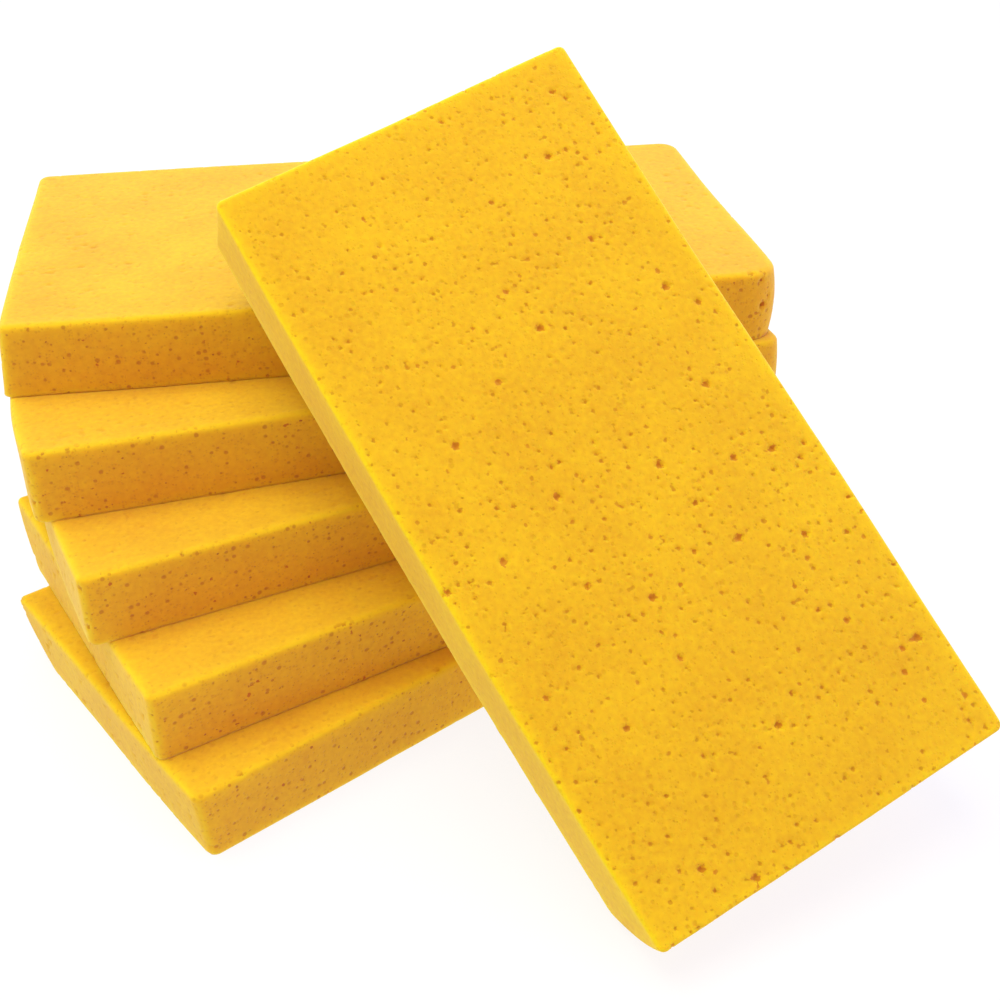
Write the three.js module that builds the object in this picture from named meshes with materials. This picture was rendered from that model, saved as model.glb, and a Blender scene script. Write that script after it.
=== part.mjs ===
// A set of six loose sponge pads for a grouting float: five lie in a fanned stack and the sixth leans
// on the stack's front edge. Every pad is the same block of open-cell foam, 280 x 140 x 28 mm.
//
// Frame: millimetres, +Z up, +X along the top pad's long side. The origin is the centre of the bottom
// pad's underside, on the surface that the set stands on.

import * as THREE from 'three';

// Driving dimensions, in millimetres and degrees.
const PAD_LENGTH = 280;
const PAD_WIDTH = 140;
const PAD_THICKNESS = 28;
const EDGE_ROUNDING = 3;
const CORNER_RADIUS = 7;
const PAD_GAP = 0.3;
const CORNER_STEPS = 6;
const EDGE_STEPS = 2;

// The stack from the bottom up: each pad's centre on the floor plan, and its turn about +Z.
const STACK = [
  { name: 'bottom_pad', x: 0, y: 0, turn: 30 },
  { name: 'lower_pad', x: 1.5, y: 8, turn: 23 },
  { name: 'middle_pad', x: -6.5, y: 26.5, turn: 17 },
  { name: 'upper_pad', x: -7, y: 43.5, turn: 8 },
  { name: 'top_pad', x: -2, y: 65, turn: 0 },
];

// The leaning pad stands on one back corner. Its foot is where that corner would be without its
// rounding, so it lies a little under the floor and the rounded corner rests just above it. The pad is
// turned about +Z, tilted back from lying flat, and then turned in its own plane.
const LEANING_FOOT = { x: 46.1, y: -190.5, z: -2.2 };
const LEANING_TURN = 7.3;
const LEANING_TILT = 38.6;
const LEANING_SPIN = 18.2;

const FOAM_COLOUR = 0xf4b92a;
const LEANING_FOAM_COLOUR = 0xf8c02c;

const radians = THREE.MathUtils.degToRad;

function foam(colour) {
  return new THREE.MeshStandardMaterial({ color: colour, roughness: 0.95, metalness: 0 });
}

// A rectangle with round corners, drawn counter-clockwise and centred on the origin.
function roundedRectangle(length, width, radius) {
  const right = length / 2;
  const top = width / 2;
  const outline = new THREE.Shape();
  outline.moveTo(radius - right, -top);
  outline.lineTo(right - radius, -top);
  outline.absarc(right - radius, radius - top, radius, -Math.PI / 2, 0);
  outline.lineTo(right, top - radius);
  outline.absarc(right - radius, top - radius, radius, 0, Math.PI / 2);
  outline.lineTo(radius - right, top);
  outline.absarc(radius - right, top - radius, radius, Math.PI / 2, Math.PI);
  outline.lineTo(-right, radius - top);
  outline.absarc(radius - right, radius - top, radius, Math.PI, 1.5 * Math.PI);
  return outline;
}

// One pad: its underside lies on z = 0, and its edges are rounded all the way round.
function padGeometry() {
  const inset = 2 * EDGE_ROUNDING;
  const outline = roundedRectangle(
    PAD_LENGTH - inset,
    PAD_WIDTH - inset,
    CORNER_RADIUS - EDGE_ROUNDING,
  );
  const geometry = new THREE.ExtrudeGeometry(outline, {
    depth: PAD_THICKNESS - inset,
    bevelThickness: EDGE_ROUNDING,
    bevelSize: EDGE_ROUNDING,
    bevelSegments: EDGE_STEPS,
    curveSegments: CORNER_STEPS,
  });
  geometry.translate(0, 0, EDGE_ROUNDING);
  return geometry;
}

function padMesh(name, colour) {
  const mesh = new THREE.Mesh(padGeometry(), foam(colour));
  mesh.name = name;
  return mesh;
}

// Five pads on top of each other, each a little further round than the one above it.
function fannedStack() {
  const stack = new THREE.Group();
  STACK.forEach((place, level) => {
    const pad = padMesh(place.name, FOAM_COLOUR);
    pad.position.set(place.x, place.y, level * (PAD_THICKNESS + PAD_GAP));
    pad.rotation.z = radians(place.turn);
    stack.add(pad);
  });
  return stack;
}

// The sixth pad: the outer group turns it to the stack, the inner one tilts it back.
function leaningPad() {
  const turned = new THREE.Group();
  turned.position.set(LEANING_FOOT.x, LEANING_FOOT.y, LEANING_FOOT.z);
  turned.rotation.z = radians(LEANING_TURN);

  const tilted = new THREE.Group();
  tilted.rotation.x = radians(LEANING_TILT);
  turned.add(tilted);

  const spun = new THREE.Group();
  spun.rotation.z = radians(LEANING_SPIN);
  tilted.add(spun);

  const pad = padMesh('leaning_pad', LEANING_FOAM_COLOUR);
  pad.rotation.z = Math.PI / 2;
  pad.position.set(PAD_WIDTH / 2, PAD_LENGTH / 2, 0);
  spun.add(pad);
  return turned;
}

const group = new THREE.Group();
group.name = 'sponge_pad_set';
group.add(fannedStack());
group.add(leaningPad());

export default group;
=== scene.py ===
"""Six loose foam pads for a sponge float: five fanned in a stack and one leaning on its front edge."""

import math

import bpy
import numpy as np
from bpy.props import FloatProperty, FloatVectorProperty, IntProperty, PointerProperty
from mathutils import Matrix, Vector


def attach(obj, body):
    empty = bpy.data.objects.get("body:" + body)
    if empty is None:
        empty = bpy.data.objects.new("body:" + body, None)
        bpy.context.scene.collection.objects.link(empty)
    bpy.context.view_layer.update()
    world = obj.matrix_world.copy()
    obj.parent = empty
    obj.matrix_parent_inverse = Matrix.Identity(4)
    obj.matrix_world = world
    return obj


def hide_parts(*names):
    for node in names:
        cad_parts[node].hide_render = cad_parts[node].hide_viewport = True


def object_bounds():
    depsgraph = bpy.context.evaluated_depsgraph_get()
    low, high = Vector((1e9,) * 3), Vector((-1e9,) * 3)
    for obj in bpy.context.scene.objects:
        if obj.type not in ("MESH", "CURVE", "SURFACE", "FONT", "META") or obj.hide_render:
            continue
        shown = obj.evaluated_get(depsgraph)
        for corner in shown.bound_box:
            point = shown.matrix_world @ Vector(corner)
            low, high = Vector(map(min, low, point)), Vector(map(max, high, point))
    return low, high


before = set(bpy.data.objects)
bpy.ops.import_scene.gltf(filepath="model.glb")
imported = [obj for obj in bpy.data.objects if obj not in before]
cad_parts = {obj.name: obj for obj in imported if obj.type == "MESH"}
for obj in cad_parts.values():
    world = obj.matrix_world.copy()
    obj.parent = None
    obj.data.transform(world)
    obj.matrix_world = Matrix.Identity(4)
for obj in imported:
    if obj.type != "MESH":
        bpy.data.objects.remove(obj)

bl_info = {
    "name": "Foam Float Pads",
    "version": (1, 0, 0),
    "blender": (4, 5, 0),
    "location": "3D View > Sidebar > Foam Pads",
    "description": "Makes a fanned stack of open-cell foam pads, one pad leaning on it, and a stage",
    "category": "Add Mesh",
}

MM = 0.001
CAD_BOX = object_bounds()
STACK_PADS = ("bottom_pad", "lower_pad", "middle_pad", "upper_pad", "top_pad")
LEANING_PAD = "leaning_pad"
STACK_SLOT = "stack_foam"
LEANING_SLOT = "leaning_foam"

# The share of large bubbles among all, at a pad's middle, and what it gains by the pad's end. Then the
# shares of middle-sized and small ones, which are the same all over.
STACK_LARGE_SHARE = (0.075, 0.0)
LEANING_LARGE_SHARE = (0.026, -0.02)
MIDDLE_SHARE = 0.34
SMALL_SHARE = 0.36
# How much larger than the smallest a small bubble can be, the power that keeps most large bubbles near
# their least size, and the radius of those too small to matter.
SMALL_SPREAD = 0.4
LARGE_POWER = 1.5
CLOSED_RADIUS = 0.05 * MM

# Points close in round an opened bubble from this many radii plus this margin, by this power.
CLOSE_IN_RADII = 1.6
CLOSE_IN_MARGIN = 0.5 * MM
CLOSE_IN_POWER = 0.55
# How many radii of its cell's side a bubble takes up, how many radii a point sinks at most, the reach
# before a bubble is found, and the most reach that the mesh holds.
ROOM_TAKEN = 2.1
DEEPEST_SINK = 1.1
REACH_OF_NONE = 9.0
MOST_REACH = 3.0

# Lengths of the waves in the cut sides and the broad faces, and the slow waves' share of a side's.
SLOW_WAVE = 45 * MM
QUICK_WAVE = 13 * MM
SLOW_SHARE = 0.75
DIP_WAVE = 38 * MM

# Patterns in the foam: cell patterns by size, the mottle's scale and the fraying of bubbles' rims.
FINE_CELLS = {"Scale": 900.0, "Largest": 0.55, "Smallest": 0.05}
MIDDLE_CELLS = {"Scale": 420.0, "Largest": 0.42, "Smallest": -0.06}
MOTTLE_SCALE = 480.0
RAGGEDNESS = 2.0
# Tints of the foam's colour in its light and dark patches, and of the painted highlight along its
# edges:
# a brighter, more saturated yellow in place of light glowing through the foam near an edge.
LIGHT_TINT = (1.08, 1.18, 1.1)
DARK_TINT = (0.92, 0.82, 0.9)
RIM_HIGHLIGHT_TINT = (1.18, 1.55, 0.6)
# How far each effect covers the colour under it: the painted highlight along the edges, and the painted
# shade in fine cells, middle cells and opened bubbles.
RIM_HIGHLIGHT_COVER = 0.8
FINE_SHADE_COVER = 0.2
MIDDLE_SHADE_COVER = 0.5
BUBBLE_SHADE_COVER = 0.85
# How much the mottle lightens the foam, and what it and the open pores add to the roughness.
MOTTLE_LIFT = 1.3
MOTTLE_ROUGHNESS = 0.2
PORE_ROUGHNESS = 0.1
# Heights of both kinds of cell and of the mottle in the bump, and the bump's own values.
FINE_HEIGHT = -0.45
MIDDLE_HEIGHT = -0.8
MOTTLE_HEIGHT = 0.55
BUMP = {"Distance": 0.35 * MM, "Strength": 0.6}
# What is the same all over the foam.
FOAM_SETTINGS = {
    "IOR": 1.35,
    "Specular IOR Level": 0.3,
    "Sheen Weight": 0.2,
    "Sheen Roughness": 0.5,
    "Sheen Tint": (1.0, 0.95, 0.75, 1.0),
    "Subsurface Weight": 0.4,
    "Subsurface Radius": (1.0, 0.45, 0.1),
    "Subsurface Scale": 4.0 * MM,
}

# The broad lamp's side, and its place from the middle of the set, in metres.
LAMP_SIZE = 1.4
LAMP_PLACE = (-0.35, 0.0, 1.7)
# The width of the camera's sensor, in millimetres.
SENSOR_WIDTH = 36

# How each pad's cut sides stray from a true block, in millimetres. A side's first value is how far it
# leans out at its underside, with as much the other way at its upper edge. The second is how far it
# bulges at half height. The five others are how far it stands out at even steps along it. A pad's start
# is its left or lower end, its end the other one, and its near side is on the right of somebody who
# looks from the start to the end.
OUTLINES = {
    "bottom_pad": {
        "start": (-1.2, 0.0, (0.4, 0.8, 0.6, 0.2, 0.0)),
        "near": (0.7, 0.0, (0.0, 0.0, 0.0, 0.0, 0.0)),
    },
    "lower_pad": {"start": (0.0, 0.0, (0.0, 0.4, 0.6, 0.6, 1.0))},
    "middle_pad": {"start": (0.0, 0.0, (0.0, 0.5, -0.6, -3.2, -5.5))},
    "upper_pad": {
        "start": (0.0, 0.0, (0.6, 3.6, 1.6, -3.0, -4.8)),
        "end": (0.6, 0.9, (4.2, 2.8, 0.4, 0.0, 0.0)),
    },
    "top_pad": {
        "start": (1.4, 0.0, (3.4, 3.6, 3.4, 3.0, 2.6)),
        "end": (0.2, 1.6, (3.7, 2.8, 0.9, -0.5, -0.9)),
        "far": (0.0, 0.0, (3.0, 4.0, 3.0, 1.0, 0.4)),
    },
    "leaning_pad": {
        "start": (-1.6, 0.0, (0.5, 0.5, 0.3, -0.1, -0.4)),
        "end": (0.0, 0.0, (4.4, 3.0, 1.9, 0.9, -0.2)),
        "near": (0.0, 0.0, (1.4, 2.6, 3.0, 3.1, 4.2)),
        "far": (0.0, 0.0, (-1.4, 0.2, 0.9, 0.6, -0.4)),
    },
}
PLAIN_SIDE = (0.0, 0.0, (0.0, 0.0, 0.0, 0.0, 0.0))

# Corner radii in millimetres at the upper face and at the underside, each in the order start near,
# start far, end near, end far.
PLAIN_CORNERS = (3.4, 3.4, 3.4, 3.4)
UPPER_CORNERS = {
    "bottom_pad": (3.4, 2.2, 3.4, 3.4),
    "lower_pad": (3.4, 2.2, 3.4, 3.4),
    "upper_pad": (4.0, 6.0, 6.0, 4.0),
    "top_pad": (3.2, 4.0, 12.0, 8.0),
    "leaning_pad": (2.6, 2.6, 2.2, 2.8),
}
UNDER_CORNERS = {
    "bottom_pad": (3.4, 20.0, 3.4, 3.4),
    "lower_pad": (3.4, 14.0, 3.4, 3.4),
    "upper_pad": (4.0, 6.0, 6.0, 4.0),
    "top_pad": (3.2, 4.0, 10.0, 8.0),
    "leaning_pad": (2.6, 15.0, 2.2, 2.8),
}


class FoamShape(bpy.types.PropertyGroup):
    """Sizes that every pad shares."""

    stack_grid: FloatProperty(
        name="Stack Grid",
        description="Spacing of the surface points on the pads of the stack",
        default=1.015 * MM,
        min=0.5 * MM,
        subtype="DISTANCE",
        unit="LENGTH",
    )
    leaning_grid: FloatProperty(
        name="Leaning Grid",
        description="Spacing of the surface points on the leaning pad, which shows the most",
        default=0.8 * MM,
        min=0.5 * MM,
        subtype="DISTANCE",
        unit="LENGTH",
    )
    stack_edge: FloatProperty(
        name="Stack Edge Rounding",
        description="Radius of the long edges on the pads of the stack",
        default=2.2 * MM,
        subtype="DISTANCE",
        unit="LENGTH",
    )
    under_edge: FloatProperty(
        name="Underside Edge Rounding",
        description="Radius of the long edges on the undersides, where a pad is pressed flat",
        default=0.2 * MM,
        subtype="DISTANCE",
        unit="LENGTH",
    )
    leaning_edge: FloatProperty(
        name="Leaning Edge Rounding",
        description="Radius of the long edges on the leaning pad",
        default=1.5 * MM,
        subtype="DISTANCE",
        unit="LENGTH",
    )
    side_waves: FloatProperty(
        name="Side Waves",
        description="How far the cut sides wander in and out",
        default=0.45 * MM,
        subtype="DISTANCE",
        unit="LENGTH",
    )
    face_waves: FloatProperty(
        name="Face Waves",
        description="How far the broad faces dip",
        default=0.1 * MM,
        subtype="DISTANCE",
        unit="LENGTH",
    )
    sag: FloatProperty(
        name="Sag",
        description="How far the underside of a stacked pad comes down onto the pad below",
        default=0.26 * MM,
        subtype="DISTANCE",
        unit="LENGTH",
    )
    stack_openness: FloatVectorProperty(
        name="Stack Openness",
        description="How open the stack's cells are on its ends, long sides and broad faces",
        default=(0.35, 1.2, 0.25),
        size=3,
        min=0.0,
    )
    leaning_openness: FloatVectorProperty(
        name="Leaning Openness",
        description="How open the leaning pad's cells are on its ends, long sides and broad faces",
        default=(0.6, 0.45, 0.85),
        size=3,
        min=0.0,
    )
    bubble_spacing: FloatProperty(
        name="Bubble Spacing",
        description="Side of the cells that hold one foam bubble each",
        default=3.4 * MM,
        subtype="DISTANCE",
        unit="LENGTH",
    )
    small_bubble: FloatProperty(
        name="Small Bubble",
        description="Radius of the smallest bubbles that the mesh opens",
        default=0.42 * MM,
        subtype="DISTANCE",
        unit="LENGTH",
    )
    middle_bubble: FloatProperty(
        name="Middle Bubble",
        description="Radius from which a bubble counts as large",
        default=0.82 * MM,
        subtype="DISTANCE",
        unit="LENGTH",
    )
    large_bubble: FloatProperty(
        name="Large Bubble",
        description="Radius of the largest bubbles",
        default=1.4 * MM,
        subtype="DISTANCE",
        unit="LENGTH",
    )
    # Reach of the painted highlight along the edges, a brighter yellow in place of light glowing
    # through the foam there.
    edge_highlight_reach: FloatProperty(
        name="Edge Glow",
        description="How far from an edge the foam's brighter yellow reaches",
        default=2.0 * MM,
        subtype="DISTANCE",
        unit="LENGTH",
    )
    seed: IntProperty(
        name="Seed",
        description="Start of every random draw, so that each run gives the same pads",
        default=7,
    )


class FoamFinish(bpy.types.PropertyGroup):
    """Colours and finish of the two foams."""

    stack_colour: FloatVectorProperty(
        name="Stack Foam",
        description="Colour of the foam in the stack",
        default=(0.80, 0.46, 0.014),
        size=3,
        min=0.0,
        max=1.0,
        subtype="COLOR",
    )
    leaning_colour: FloatVectorProperty(
        name="Leaning Foam",
        description="Colour of the leaning pad's foam",
        default=(0.80, 0.49, 0.007),
        size=3,
        min=0.0,
        max=1.0,
        subtype="COLOR",
    )
    # Painted shade: the darker, redder colour inside a small pore of the stack, in place of the shade
    # and bounced light in that hollow.
    stack_pore_shade: FloatVectorProperty(
        name="Stack Pore",
        description="Colour inside a small pore of the stack",
        default=(0.49, 0.155, 0.016),
        size=3,
        min=0.0,
        max=1.0,
        subtype="COLOR",
    )
    # Painted shade: the darker colour inside a small pore of the leaning pad, in place of the shade and
    # bounced light in that hollow.
    leaning_pore_shade: FloatVectorProperty(
        name="Leaning Pore",
        description="Colour inside a small pore of the leaning pad",
        default=(0.62, 0.32, 0.006),
        size=3,
        min=0.0,
        max=1.0,
        subtype="COLOR",
    )
    # Painted shade: the colour inside a large pore, in place of the shade and the light bounced many
    # times in that hollow.
    deep_pore_shade: FloatVectorProperty(
        name="Deep Pore",
        description="Colour inside a large pore, where light has bounced many times",
        default=(0.60, 0.19, 0.012),
        size=3,
        min=0.0,
        max=1.0,
        subtype="COLOR",
    )
    roughness: FloatProperty(
        name="Roughness",
        description="Roughness of the dry foam between its pores",
        default=0.88,
        min=0.0,
        max=1.0,
        subtype="FACTOR",
    )


class PadStage(bpy.types.PropertyGroup):
    """Floor, light and camera."""

    floor_size: FloatProperty(
        name="Floor Size",
        description="Side of the floor",
        default=40.0,
        subtype="DISTANCE",
        unit="LENGTH",
    )
    floor_colour: FloatVectorProperty(
        name="Floor",
        description="Colour of the floor",
        default=(0.18, 0.18, 0.18),
        size=3,
        min=0.0,
        max=1.0,
        subtype="COLOR",
    )
    floor_glow: FloatProperty(
        name="Floor Glow",
        description="How much light the floor gives off by itself, as a lit sweep of paper does",
        default=0.83,
        min=0.0,
    )
    lamp_power: FloatProperty(
        name="Lamp Power",
        description="Power of the broad lamp overhead",
        default=25.6,
        unit="POWER",
    )
    lamp_colour: FloatVectorProperty(
        name="Lamp Colour",
        description="Colour of the broad lamp overhead",
        default=(0.94, 1.0, 0.75),
        size=3,
        min=0.0,
        max=1.0,
        subtype="COLOR",
    )
    sky_left: FloatVectorProperty(
        name="Left Sky",
        description="Soft light from the left",
        default=(1.12, 1.12, 0.2),
        size=3,
        subtype="COLOR",
    )
    sky_right: FloatVectorProperty(
        name="Right Sky",
        description="Soft light from the right",
        default=(1.45, 1.15, 1.8),
        size=3,
        subtype="COLOR",
    )
    sky_front: FloatVectorProperty(
        name="Front Sky",
        description="Soft light from the front",
        default=(0.3, 0.02, 0.8),
        size=3,
        subtype="COLOR",
    )
    sky_back: FloatVectorProperty(
        name="Back Sky",
        description="Soft light from behind",
        default=(0.4, 0.7, 1.6),
        size=3,
        subtype="COLOR",
    )
    camera_place: FloatVectorProperty(
        name="Camera Place",
        description="Where the camera stands",
        default=(-43.63 * MM, -470.74 * MM, 372.55 * MM),
        size=3,
        subtype="TRANSLATION",
        unit="LENGTH",
    )
    camera_turn: FloatProperty(
        name="Camera Turn",
        description="How far the camera looks to the right of straight back",
        default=math.radians(9.5),
        subtype="ANGLE",
        unit="ROTATION",
    )
    camera_dip: FloatProperty(
        name="Camera Dip",
        description="How far the camera looks down",
        default=math.radians(34.42),
        subtype="ANGLE",
        unit="ROTATION",
    )
    camera_roll: FloatProperty(
        name="Camera Roll",
        description="How far the camera leans to its left",
        default=math.radians(0.18),
        subtype="ANGLE",
        unit="ROTATION",
    )
    lens: FloatProperty(
        name="Lens",
        description="Focal length in millimetres, on a sensor 36 mm wide",
        default=51.19,
    )


def read_block(name):
    """Middle, axes and half sizes of a pad, from its solid in the frame.

    The axes are the eigenvectors of the sum, over all faces, of area times the normal's outer product
    with itself: the ends add the least to it, then the long sides, and the broad faces the most. The
    thickness axis points up. The length axis points up the slope or, on a level pad, to the right.
    """
    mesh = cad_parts[name].data
    points = np.empty(len(mesh.vertices) * 3, np.float32)
    normals = np.empty(len(mesh.polygons) * 3, np.float32)
    areas = np.empty(len(mesh.polygons), np.float32)
    mesh.vertices.foreach_get("co", points)
    mesh.polygons.foreach_get("normal", normals)
    mesh.polygons.foreach_get("area", areas)
    points = points.reshape(-1, 3).astype(float)
    normals = normals.reshape(-1, 3).astype(float)
    spread = np.einsum("i,ij,ik->jk", areas.astype(float), normals, normals)
    vectors = np.linalg.eigh(spread)[1]
    length, up = vectors[:, 0], vectors[:, 2]
    up = up * np.sign(up[2])
    length = length * (np.sign(length[2]) if abs(length[2]) > 0.01 else np.sign(length[0]))
    axes = np.stack([length, np.cross(up, length), up])
    along = points @ axes.T
    low, high = along.min(0), along.max(0)
    return (low + high) / 2 @ axes, axes, (high - low) / 2


def skin_lattice(counts):
    """Grid points on the skin of a block, as shares from -1 to 1 along its axes, and its outward quads.

    Every point of a full grid that lies on a face of the block is numbered once, so that the six sheets
    of quads share the points on their common edges.
    """
    shape = tuple(np.asarray(counts) + 1)
    skin = np.ones(shape, bool)
    skin[1:-1, 1:-1, 1:-1] = False
    number = np.full(shape, -1)
    number[skin] = np.arange(skin.sum())
    shares = np.argwhere(skin) / np.asarray(counts) * 2 - 1
    quads = []
    for axis in range(3):
        sheets = np.moveaxis(number, axis, 0)
        for side in (0, -1):
            sheet = sheets[side]
            ring = [sheet[:-1, :-1], sheet[1:, :-1], sheet[1:, 1:], sheet[:-1, 1:]]
            if (side == 0) != (axis == 1):
                ring.reverse()
            quads.append(np.stack(ring, -1).reshape(-1, 4))
    return shares, np.concatenate(quads)


def round_block(points, half, radii, edge_radius):
    """Rounds a block whose points lie on its skin, and gives the rounded points and their normals.

    A corner's radius goes from its value at the upper face to its value at the underside with the
    square of the share of the way down. In plan, a point's way out of the inner rectangle, measured by
    its longer part, becomes the same distance along the straight line from that rectangle, which turns
    the square corners into arcs. Then the pair (how far within the edge radius of the side, how far
    within it of the broad face) is scaled to the length of the edge radius, which puts the edges on
    quarter circles.
    """
    plan, level = points[:, :2], points[:, 2]
    upper, under = radii[:, (points[:, 0] > 0).astype(int), (points[:, 1] > 0).astype(int)]
    radius = upper + (under - upper) * ((1 - level / half[2]) / 2) ** 2
    core = np.clip(plan, radius[:, None] - half[:2], half[:2] - radius[:, None])
    out = plan - core
    far = np.abs(out).max(1)
    way = out / np.maximum(np.linalg.norm(out, axis=1), 1e-12)[:, None]
    sideways = np.maximum(edge_radius - (radius - far), 0)
    upwards = np.maximum(edge_radius - (half[2] - np.abs(level)), 0)
    scale = edge_radius / np.hypot(sideways, upwards)
    sideways, upwards = sideways * scale, upwards * scale
    far = np.where(sideways > 0, radius - edge_radius + sideways, far)
    top = np.where(upwards > 0, half[2] - edge_radius + upwards, np.abs(level))
    rounded = np.column_stack([core + way * far[:, None], np.sign(level) * top])
    normals = np.column_stack([way * sideways[:, None], np.sign(level) * upwards])
    return rounded, normals / np.linalg.norm(normals, axis=1)[:, None]


def soft_noise(points, cell, rng):
    """Smooth random values from -1 to 1: draws on a cubic grid, blended by 3t^2 - 2t^3 between them."""
    places = points / cell
    base = np.floor(places).astype(int)
    low = base.min(0)
    draws = rng.uniform(-1, 1, tuple(base.max(0) - low + 2))
    base, part = base - low, places - base
    blend = part * part * (3 - 2 * part)
    total = np.zeros(len(points))
    for corner in np.ndindex(2, 2, 2):
        share = np.prod(np.where(corner, blend, 1 - blend), axis=1)
        total += share * draws[tuple((base + corner).T)]
    return total


def through(stations, share):
    """The smooth curve through five values at even steps: the one polynomial of fourth degree."""
    return np.polyval(np.polyfit(np.linspace(-1, 1, len(stations)), stations, 4), share)


def uneven(points, half, outline, sag, shape, rng):
    """Makes a rounded block's cut sides and broad faces uneven.

    Each side moves outwards by its outline's curve along it, plus its lean times the height share, down
    positive, plus its bulge times one less the square of that share, plus soft noise. The move fades
    inwards with the fourth power of the share of the way to that side. The broad faces dip by soft
    noise, and the underside then comes down by the sag, which closes the gap to the pad below.
    """
    share = points / half
    moved = points.copy()
    sides = (("start", 0, -1), ("end", 0, 1), ("near", 1, -1), ("far", 1, 1))
    for name, axis, sign in sides:
        lean, bulge, stations = outline.get(name, PLAIN_SIDE)
        fade = np.clip(share[:, axis] * sign, 0, None) ** 4
        slow = soft_noise(points, SLOW_WAVE, rng)
        quick = soft_noise(points, QUICK_WAVE, rng)
        wander = shape.side_waves * (SLOW_SHARE * slow + (1 - SLOW_SHARE) * quick)
        stray = through(stations, share[:, 1 - axis]) - lean * share[:, 2]
        stray += bulge * (1 - share[:, 2] ** 2)
        moved[:, axis] += sign * fade * (stray * MM + wander)
    dip = soft_noise(points, DIP_WAVE, rng) * 0.5 + 0.5
    moved[:, 2] -= share[:, 2] * shape.face_waves * dip + np.clip(-share[:, 2], 0, None) * sag
    return moved


def bubble_radii(pick, growth, large_share, shape):
    """Radii from even draws: few large bubbles, more middle ones, as many small, and the rest too small
    to matter. Within each kind the radius grows with the second draw, or with a power of it."""
    small, middle, large = shape.small_bubble, shape.middle_bubble, shape.large_bubble
    largest_small = small * (1 + SMALL_SPREAD)
    kinds = [
        (large_share, middle + (large - middle) * growth**LARGE_POWER),
        (large_share + MIDDLE_SHARE, largest_small + (middle - largest_small) * growth),
        (large_share + MIDDLE_SHARE + SMALL_SHARE, small * (1 + SMALL_SPREAD * growth)),
    ]
    radii = np.full(pick.shape, CLOSED_RADIUS)
    for limit, values in reversed(kinds):
        radii = np.where(pick < limit, values, radii)
    return radii


def open_bubbles(points, normals, half, shape, large_share, openness, rng):
    """Cuts the foam's bubbles open at the surface, and gives the new points, and reach and size there.

    Every cell of a cubic grid holds one bubble, clear of the cell's walls. A point's bubble is the one
    with the least reach, which is the distance to the bubble's middle over its radius. Round a bubble
    that the surface cuts, points first close in: the distance along the surface, as a share of the
    close-in radius, is raised to a power. Then each point inside the bubble sinks to its far wall, by
    its height above the middle plus the root of radius squared less the distance along the surface
    squared. Where the skin is less open, it sinks by that share of the depth.
    """
    spacing = shape.bubble_spacing
    counts = np.ceil(half / spacing).astype(int) * 2 + 3
    grid = (np.indices(counts).transpose(1, 2, 3, 0) - (counts - 1) / 2) * spacing
    pick, growth = rng.random(counts), rng.random(counts)
    at_middle, gain = large_share
    radius = bubble_radii(pick, growth, at_middle + gain * (grid[..., 0] / half[0]), shape)
    room = spacing - ROOM_TAKEN * radius
    centres = grid + (rng.random((*counts, 3)) - 0.5) * room[..., None]
    cell = np.round(points / spacing + (counts - 1) / 2).astype(int)
    reach = np.full(len(points), REACH_OF_NONE)
    centre = np.zeros_like(points)
    size = np.full(len(points), shape.small_bubble)
    for shift in np.ndindex(3, 3, 3):
        near = tuple(np.clip(cell + shift - 1, 0, counts - 1).T)
        distance = np.linalg.norm(points - centres[near], axis=1) / radius[near]
        closer = distance < reach
        reach[closer] = distance[closer]
        centre[closer] = centres[near][closer]
        size[closer] = radius[near][closer]
    away = points - centre
    height = (away * normals).sum(1)
    along = away - height[:, None] * normals
    length = np.linalg.norm(along, axis=1)
    close_in = CLOSE_IN_RADII * size + CLOSE_IN_MARGIN
    cut = (np.abs(height) < size) & (length < close_in)
    pull = np.where(cut, (np.maximum(length, 1e-9) / close_in) ** CLOSE_IN_POWER, 1.0)
    points = points + along * (pull - 1)[:, None]
    length = length * pull
    reach = np.hypot(length, height) / size
    sink = height + np.sqrt(np.maximum(size**2 - length**2, 0))
    sink = np.where(reach < 1, np.clip(sink, 0, DEEPEST_SINK * size), 0)
    points = points - normals * (sink * openness)[:, None]
    return points, np.minimum(reach, MOST_REACH), size


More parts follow.
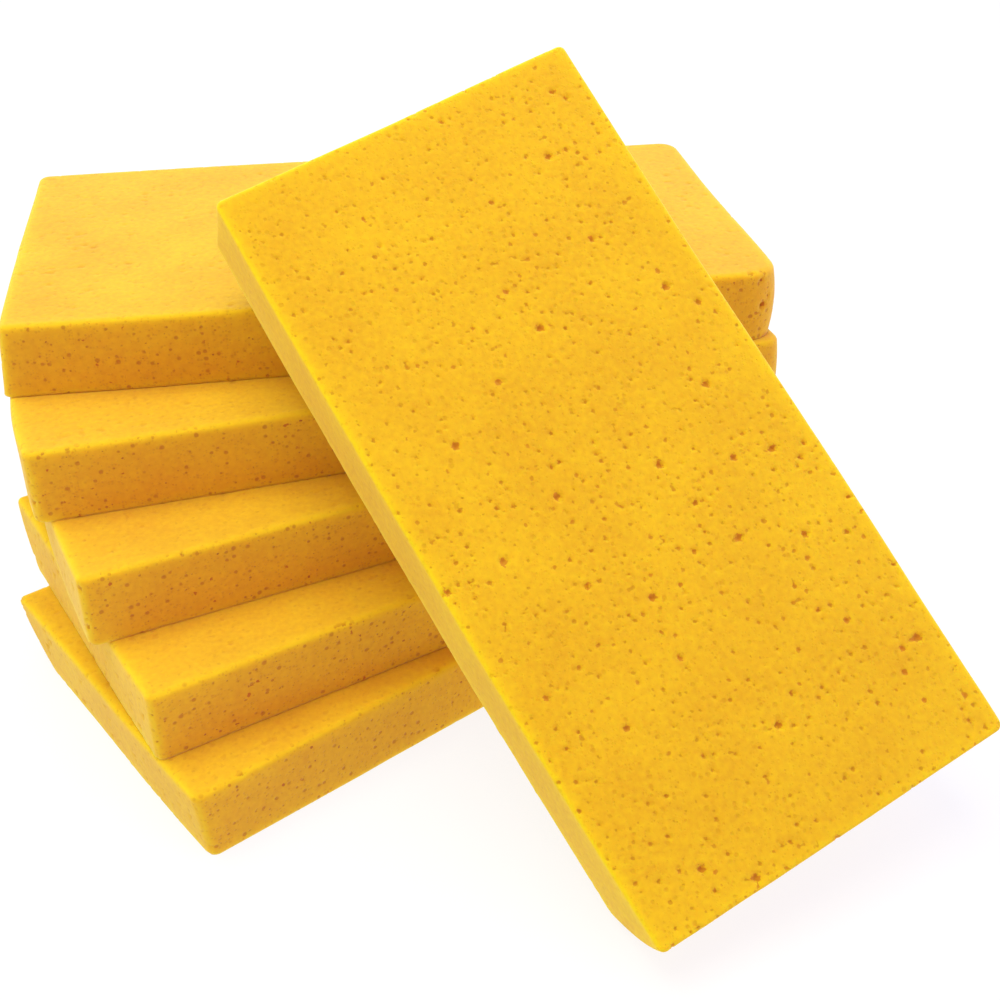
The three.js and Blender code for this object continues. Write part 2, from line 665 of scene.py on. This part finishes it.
def pad_mesh(name, grid, edge_radius, large_share, open_shares, sag, shape):
    """One pad's mesh in the row frame, with what its material reads as point attributes.

    Those are the reach and size of its bubbles, how near an edge is, which sets the painted highlight
    along the edges (e to the power of minus the distance over the highlight's reach), and how open the
    skin is, which is the sum of three values, for the ends, the long sides and the broad faces, each
    times the square of the normal's part that way.
    """
    middle, axes, half = read_block(name)
    rng = np.random.default_rng([shape.seed, *map(ord, name)])
    counts = np.round(2 * half / grid).astype(int)
    shares, quads = skin_lattice(counts)
    corners = [group.get(name, PLAIN_CORNERS) for group in (UPPER_CORNERS, UNDER_CORNERS)]
    radii = np.reshape(corners, (2, 2, 2)) * MM
    block = shares * half
    rounding = np.where(block[:, 2] < 0, shape.under_edge, edge_radius)
    points, normals = round_block(block, half, radii, rounding)
    # How near an edge is, which sets the painted highlight along the edges.
    edge = np.exp(-np.sort(half - np.abs(points), axis=1)[:, 1] / shape.edge_highlight_reach)
    openness = normals**2 @ np.array(open_shares)
    points, reach, size = open_bubbles(points, normals, half, shape, large_share, openness, rng)
    points = uneven(points, half, OUTLINES[name], sag, shape, rng)
    mesh = bpy.data.meshes.new(name + "_foam")
    mesh.vertices.add(len(points))
    mesh.vertices.foreach_set("co", (middle + points @ axes).astype(np.float32).ravel())
    mesh.loops.add(quads.size)
    mesh.loops.foreach_set("vertex_index", quads.astype(np.int32).ravel())
    mesh.polygons.add(len(quads))
    mesh.polygons.foreach_set("loop_start", np.arange(0, quads.size, 4, dtype=np.int32))
    mesh.polygons.foreach_set("use_smooth", np.ones(len(quads), bool))
    size = size / shape.large_bubble
    for label, values in (
        ("bubble_reach", reach),
        ("bubble_size", size),
        ("edge_highlight_share", edge),
        ("openness", openness),
    ):
        attribute = mesh.attributes.new(label, "FLOAT", "POINT")
        attribute.data.foreach_set("value", values.astype(np.float32))
    mesh.update(calc_edges=True)
    mesh.validate()
    return mesh


def place_pad(name, mesh, material):
    """Puts a pad's mesh in the scene, riding on its own body in place of its solid."""
    pad = bpy.data.objects.new(name + "_foam", mesh)
    bpy.context.scene.collection.objects.link(pad)
    mesh.materials.append(material)
    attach(pad, name)
    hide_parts(name)


def feed(tree, socket, value):
    """Links a socket to another node's output, or sets it to a plain value."""
    if isinstance(value, bpy.types.NodeSocket):
        tree.links.new(value, socket)
    else:
        socket.default_value = value


def node(tree, kind, inputs=None, **settings):
    """Adds a shader node, sets its properties, and feeds its inputs."""
    made = tree.nodes.new(kind)
    for key, value in settings.items():
        setattr(made, key, value)
    for key, value in (inputs or {}).items():
        feed(tree, made.inputs[key], value)
    return made


def maths(tree, operation, *values):
    """A Math node's result."""
    return node(tree, "ShaderNodeMath", dict(enumerate(values)), operation=operation).outputs[0]


def ramp(tree, value, low, high):
    """A value taken smoothly from the range low to high into the range 0 to 1."""
    inputs = {"Value": value, "From Min": low, "From Max": high}
    made = node(tree, "ShaderNodeMapRange", inputs, interpolation_type="SMOOTHSTEP")
    return made.outputs["Result"]


def mixed(tree, share, first, second, **settings):
    """A colour between two colours, or their blend in another way.

    Only the Mix node's colour sockets are used: its factor 0, its colours 6 and 7, and its result 2.
    """
    inputs = {0: share, 6: first, 7: second}
    return node(tree, "ShaderNodeMix", inputs, data_type="RGBA", **settings).outputs[2]


def tinted(colour, tint):
    """A colour times a tint, held to 1, with full cover."""
    return (*(min(part * factor, 1.0) for part, factor in zip(colour, tint)), 1.0)


def new_group(name, inputs, outputs):
    """An empty shader node group with named sockets: its tree, its input node and its output node."""
    tree = bpy.data.node_groups.new(name, "ShaderNodeTree")
    for label, kind, value in inputs:
        socket = tree.interface.new_socket(label, in_out="INPUT", socket_type=kind)
        if value is not None:
            socket.default_value = value
    for label, kind in outputs:
        tree.interface.new_socket(label, in_out="OUTPUT", socket_type=kind)
    return tree, tree.nodes.new("NodeGroupInput"), tree.nodes.new("NodeGroupOutput")


def cell_group():
    """Fine foam cells: a mask of round openings of random size in a 3-D cell pattern.

    An opening's size is a power of a cell's random draw, so that few are large. The mask falls softly
    from inside an opening's rim to outside it.
    """
    if "foam_cells" in bpy.data.node_groups:
        return bpy.data.node_groups["foam_cells"]
    tree, given, result = new_group(
        "foam_cells",
        [
            ("Vector", "NodeSocketVector", None),
            ("Scale", "NodeSocketFloat", 900.0),
            ("Largest", "NodeSocketFloat", 0.45),
            ("Smallest", "NodeSocketFloat", 0.05),
        ],
        [("Mask", "NodeSocketFloat")],
    )
    cells = node(
        tree,
        "ShaderNodeTexVoronoi",
        {"Vector": given.outputs["Vector"], "Scale": given.outputs["Scale"], "Randomness": 1.0},
    )
    draw = node(tree, "ShaderNodeSeparateColor", {"Color": cells.outputs["Color"]})
    share = maths(tree, "POWER", draw.outputs[0], 2.2)
    span = maths(tree, "SUBTRACT", given.outputs["Largest"], given.outputs["Smallest"])
    opening = maths(tree, "MULTIPLY_ADD", share, span, given.outputs["Smallest"])
    opening = maths(tree, "MAXIMUM", opening, 0.01)
    inside = maths(tree, "DIVIDE", cells.outputs["Distance"], opening)
    tree.links.new(ramp(tree, inside, 1.25, 0.55), result.inputs["Mask"])
    return tree


def bubble_group():
    """The large bubbles that the mesh holds: a ragged mask from their reach, and how deep they look."""
    if "opened_bubbles" in bpy.data.node_groups:
        return bpy.data.node_groups["opened_bubbles"]
    tree, given, result = new_group(
        "opened_bubbles",
        [
            ("Vector", "NodeSocketVector", None),
            ("Reach", "NodeSocketFloat", 3.0),
            ("Size", "NodeSocketFloat", 0.5),
            ("Raggedness", "NodeSocketFloat", 0.5),
        ],
        [("Mask", "NodeSocketFloat"), ("Depth", "NodeSocketFloat")],
    )
    fray = node(
        tree,
        "ShaderNodeTexNoise",
        {"Vector": given.outputs["Vector"], "Scale": 750.0, "Detail": 1.0},
    )
    centred = maths(tree, "SUBTRACT", fray.outputs["Fac"], 0.5)
    ragged = maths(tree, "MULTIPLY_ADD", centred, given.outputs["Raggedness"], given.outputs["Reach"])
    mask = ramp(tree, ragged, 1.12, 0.82)
    # Larger bubbles get more of the deep pore colour, a painted shade for light bounced many times
    # inside them.
    depth = ramp(tree, given.outputs["Size"], 0.38, 0.75)
    tree.links.new(mask, result.inputs["Mask"])
    tree.links.new(depth, result.inputs["Depth"])
    return tree


def tone_group():
    """Uneven tone of cut foam: slow patches and a fine mottle, both about zero."""
    if "foam_tone" in bpy.data.node_groups:
        return bpy.data.node_groups["foam_tone"]
    tree, given, result = new_group(
        "foam_tone",
        [("Vector", "NodeSocketVector", None), ("Mottle", "NodeSocketFloat", 420.0)],
        [("Patches", "NodeSocketFloat"), ("Mottle", "NodeSocketFloat")],
    )
    slow = node(
        tree,
        "ShaderNodeTexNoise",
        {"Vector": given.outputs["Vector"], "Scale": 28.0, "Detail": 2.0},
    )
    quick = node(
        tree,
        "ShaderNodeTexNoise",
        {"Vector": given.outputs["Vector"], "Scale": given.outputs["Mottle"], "Detail": 3.0},
    )
    tree.links.new(maths(tree, "SUBTRACT", slow.outputs["Fac"], 0.5), result.inputs["Patches"])
    tree.links.new(maths(tree, "SUBTRACT", quick.outputs["Fac"], 0.5), result.inputs["Mottle"])
    return tree


def placed(tree, group, inputs):
    """A node group placed in a material, with its inputs fed."""
    return node(tree, "ShaderNodeGroup", inputs, node_tree=group)


def foam_material(name, colour, small_pore_shade, finish):
    """Open-cell foam: uneven tone, fine cells and opened bubbles, in the colour and in the bump."""
    material = bpy.data.materials.new(name)
    material.use_nodes = True
    tree = material.node_tree
    shader = tree.nodes["Principled BSDF"]
    place = tree.nodes.new("ShaderNodeTexCoord").outputs["Object"]
    reach = node(tree, "ShaderNodeAttribute", attribute_name="bubble_reach").outputs["Fac"]
    size = node(tree, "ShaderNodeAttribute", attribute_name="bubble_size").outputs["Fac"]
    edge = node(tree, "ShaderNodeAttribute", attribute_name="edge_highlight_share").outputs["Fac"]
    openness = node(tree, "ShaderNodeAttribute", attribute_name="openness").outputs["Fac"]
    tone = placed(tree, tone_group(), {"Vector": place, "Mottle": MOTTLE_SCALE})
    fine = placed(tree, cell_group(), {"Vector": place, **FINE_CELLS})
    middle = placed(tree, cell_group(), {"Vector": place, **MIDDLE_CELLS})
    bubble_inputs = {"Vector": place, "Reach": reach, "Size": size, "Raggedness": RAGGEDNESS}
    bubbles = placed(tree, bubble_group(), bubble_inputs)
    # The rim colour is a painted highlight; the light and dark colours are the foam's random tone.
    light, dark, rim = (tinted(colour, tint) for tint in (LIGHT_TINT, DARK_TINT, RIM_HIGHLIGHT_TINT))
    # Colours of painted shade inside small and large pores, in place of the shade and bounced light in
    # those hollows.
    shallow_shade, deep = (*small_pore_shade, 1.0), (*finish.deep_pore_shade, 1.0)
    lift = maths(tree, "ADD", tone.outputs["Patches"], 0.5)
    lift = maths(tree, "MULTIPLY_ADD", tone.outputs["Mottle"], MOTTLE_LIFT, lift)
    fine_share = maths(tree, "MULTIPLY", fine.outputs["Mask"], openness)
    middle_share = maths(tree, "MULTIPLY", middle.outputs["Mask"], openness)
    bubble_share = maths(tree, "MULTIPLY", bubbles.outputs["Mask"], openness)
    skin = mixed(tree, lift, dark, light)
    # Painted highlight: a brighter yellow near the edges, in place of light glowing through the foam
    # there.
    skin = mixed(tree, maths(tree, "MULTIPLY", edge, RIM_HIGHLIGHT_COVER), skin, rim)
    # Painted shade inside fine cells, middle cells and opened bubbles. For opened bubbles it adds to
    # the real shade of the sunken pits.
    skin = mixed(tree, maths(tree, "MULTIPLY", fine_share, FINE_SHADE_COVER), skin, shallow_shade)
    skin = mixed(tree, maths(tree, "MULTIPLY", middle_share, MIDDLE_SHADE_COVER), skin, shallow_shade)
    pore = mixed(tree, bubbles.outputs["Depth"], shallow_shade, deep)
    skin = mixed(tree, maths(tree, "MULTIPLY", bubble_share, BUBBLE_SHADE_COVER), skin, pore)
    tree.links.new(skin, shader.inputs["Base Color"])
    height = maths(tree, "MULTIPLY", fine_share, FINE_HEIGHT)
    height = maths(tree, "MULTIPLY_ADD", middle_share, MIDDLE_HEIGHT, height)
    height = maths(tree, "MULTIPLY_ADD", tone.outputs["Mottle"], MOTTLE_HEIGHT, height)
    bump = node(tree, "ShaderNodeBump", {"Height": height, **BUMP})
    tree.links.new(bump.outputs["Normal"], shader.inputs["Normal"])
    open_share = maths(tree, "MAXIMUM", bubble_share, middle_share)
    rough = maths(tree, "MULTIPLY_ADD", tone.outputs["Mottle"], MOTTLE_ROUGHNESS, finish.roughness)
    rough = maths(tree, "MULTIPLY_ADD", open_share, PORE_ROUGHNESS, rough)
    tree.links.new(rough, shader.inputs["Roughness"])
    for label, value in FOAM_SETTINGS.items():
        shader.inputs[label].default_value = value
    return material


def make_floor(scene, stage):
    """A wide flat square of lit paper under the set."""
    mesh = bpy.data.meshes.new("floor")
    reach = stage.floor_size / 2
    corners = [(-reach, -reach, 0), (reach, -reach, 0), (reach, reach, 0), (-reach, reach, 0)]
    mesh.from_pydata(corners, [], [(0, 1, 2, 3)])
    floor = bpy.data.objects.new("floor", mesh)
    scene.collection.objects.link(floor)
    paint = bpy.data.materials.new("pale_floor")
    paint.use_nodes = True
    shader = paint.node_tree.nodes["Principled BSDF"]
    shader.inputs["Base Color"].default_value = (*stage.floor_colour, 1.0)
    shader.inputs["Roughness"].default_value = 0.9
    shader.inputs["Specular IOR Level"].default_value = 0.1
    shader.inputs["Emission Color"].default_value = (1, 1, 1, 1)
    shader.inputs["Emission Strength"].default_value = stage.floor_glow
    mesh.materials.append(paint)


def make_lamp(scene, stage):
    """A broad lamp overhead, a little to the left, facing the middle of the set."""
    low, high = CAD_BOX
    middle = (low + high) / 2
    lamp = bpy.data.lights.new("overhead_lamp", "AREA")
    lamp.size, lamp.energy, lamp.color = LAMP_SIZE, stage.lamp_power, stage.lamp_colour
    made = bpy.data.objects.new("overhead_lamp", lamp)
    scene.collection.objects.link(made)
    made.location = middle + Vector(LAMP_PLACE)
    made.rotation_euler = (middle - made.location).to_track_quat("-Z", "Y").to_euler()


def make_sky(scene, stage):
    """Soft light from four sides: each lobe grows with the dot product of a way and the lobe's own. The
    camera sees plain white behind the set."""
    world = bpy.data.worlds.new("soft_sky")
    scene.world = world
    world.use_nodes = True
    tree = world.node_tree
    tree.nodes.clear()
    way = tree.nodes.new("ShaderNodeTexCoord").outputs["Generated"]
    light = (0, 0, 0, 1)
    for side, colour in (
        ((-0.97, 0.0, 0.24), stage.sky_left),
        ((0.97, 0.0, 0.24), stage.sky_right),
        ((0.0, -0.94, 0.34), stage.sky_front),
        ((0.0, 0.94, 0.34), stage.sky_back),
    ):
        facing = node(tree, "ShaderNodeVectorMath", {0: way, 1: side}, operation="DOT_PRODUCT")
        share = ramp(tree, facing.outputs["Value"], 0.3, 1.0)
        light = mixed(tree, share, light, (*colour, 1.0), blend_type="ADD")
    sky = node(tree, "ShaderNodeBackground", {"Color": light, "Strength": 1.0})
    plain = node(tree, "ShaderNodeBackground", {"Color": (1, 1, 1, 1), "Strength": 1.0})
    seen = tree.nodes.new("ShaderNodeLightPath").outputs["Is Camera Ray"]
    both = node(tree, "ShaderNodeMixShader", {0: seen, 1: sky.outputs[0], 2: plain.outputs[0]})
    node(tree, "ShaderNodeOutputWorld", {"Surface": both.outputs[0]})


def make_camera(scene, stage):
    """The camera, turned right, dipped and then rolled from looking straight back along +Y."""
    data = bpy.data.cameras.new("camera")
    data.lens = stage.lens
    data.sensor_width = SENSOR_WIDTH
    data.clip_end = 100
    camera = bpy.data.objects.new("camera", data)
    scene.collection.objects.link(camera)
    turn = Matrix.Rotation(-stage.camera_turn, 4, "Z")
    dip = Matrix.Rotation(math.pi / 2 - stage.camera_dip, 4, "X")
    roll = Matrix.Rotation(stage.camera_roll, 4, "Z")
    camera.matrix_world = Matrix.Translation(stage.camera_place) @ turn @ dip @ roll
    scene.camera = camera


class FOAM_OT_stack(bpy.types.Operator):
    """Make the five pads of the fanned stack"""

    bl_idname = "foam.stack"
    bl_label = "Pad Stack"

    def execute(self, context):
        shape, finish = context.scene.foam_shape, context.scene.foam_finish
        material = foam_material(STACK_SLOT, finish.stack_colour, finish.stack_pore_shade, finish)
        for name in STACK_PADS:
            mesh = pad_mesh(
                name,
                shape.stack_grid,
                shape.stack_edge,
                STACK_LARGE_SHARE,
                shape.stack_openness,
                0.0 if name == STACK_PADS[0] else shape.sag,
                shape,
            )
            place_pad(name, mesh, material)
        return {"FINISHED"}


class FOAM_OT_leaning(bpy.types.Operator):
    """Make the pad that leans on the stack's front edge"""

    bl_idname = "foam.leaning"
    bl_label = "Leaning Pad"

    def execute(self, context):
        shape, finish = context.scene.foam_shape, context.scene.foam_finish
        material = foam_material(LEANING_SLOT, finish.leaning_colour, finish.leaning_pore_shade, finish)
        mesh = pad_mesh(
            LEANING_PAD,
            shape.leaning_grid,
            shape.leaning_edge,
            LEANING_LARGE_SHARE,
            shape.leaning_openness,
            0.0,
            shape,
        )
        place_pad(LEANING_PAD, mesh, material)
        return {"FINISHED"}


class FOAM_OT_stage(bpy.types.Operator):
    """Make the floor, the light and the camera"""

    bl_idname = "foam.stage"
    bl_label = "Stage"

    def execute(self, context):
        scene, stage = context.scene, context.scene.foam_stage
        for make in (make_floor, make_lamp, make_sky, make_camera):
            make(scene, stage)
        scene.view_settings.view_transform = "Standard"
        return {"FINISHED"}


class FOAM_PT_panel(bpy.types.Panel):
    """Foam pads panel in the 3D view's sidebar"""

    bl_idname = "FOAM_PT_panel"
    bl_label = "Foam Pads"
    bl_space_type = "VIEW_3D"
    bl_region_type = "UI"
    bl_category = "Foam Pads"

    def draw(self, context):
        for made in (FOAM_OT_stack, FOAM_OT_leaning, FOAM_OT_stage):
            self.layout.operator(made.bl_idname)
        for group in (context.scene.foam_shape, context.scene.foam_finish, context.scene.foam_stage):
            box = self.layout.box()
            for name in group.__annotations__:
                box.prop(group, name)


CLASSES = (
    FoamShape,
    FoamFinish,
    PadStage,
    FOAM_OT_stack,
    FOAM_OT_leaning,
    FOAM_OT_stage,
    FOAM_PT_panel,
)


def register():
    """Adds the classes, and their settings to the scene."""
    for made in CLASSES:
        bpy.utils.register_class(made)
    bpy.types.Scene.foam_shape = PointerProperty(type=FoamShape)
    bpy.types.Scene.foam_finish = PointerProperty(type=FoamFinish)
    bpy.types.Scene.foam_stage = PointerProperty(type=PadStage)


def unregister():
    """Takes the settings and the classes away again."""
    del bpy.types.Scene.foam_stage
    del bpy.types.Scene.foam_finish
    del bpy.types.Scene.foam_shape
    for made in reversed(CLASSES):
        bpy.utils.unregister_class(made)


def main():
    """Makes the set and its stage."""
    register()
    bpy.ops.foam.stack()
    bpy.ops.foam.leaning()
    bpy.ops.foam.stage()


if __name__ == "__main__":
    main()
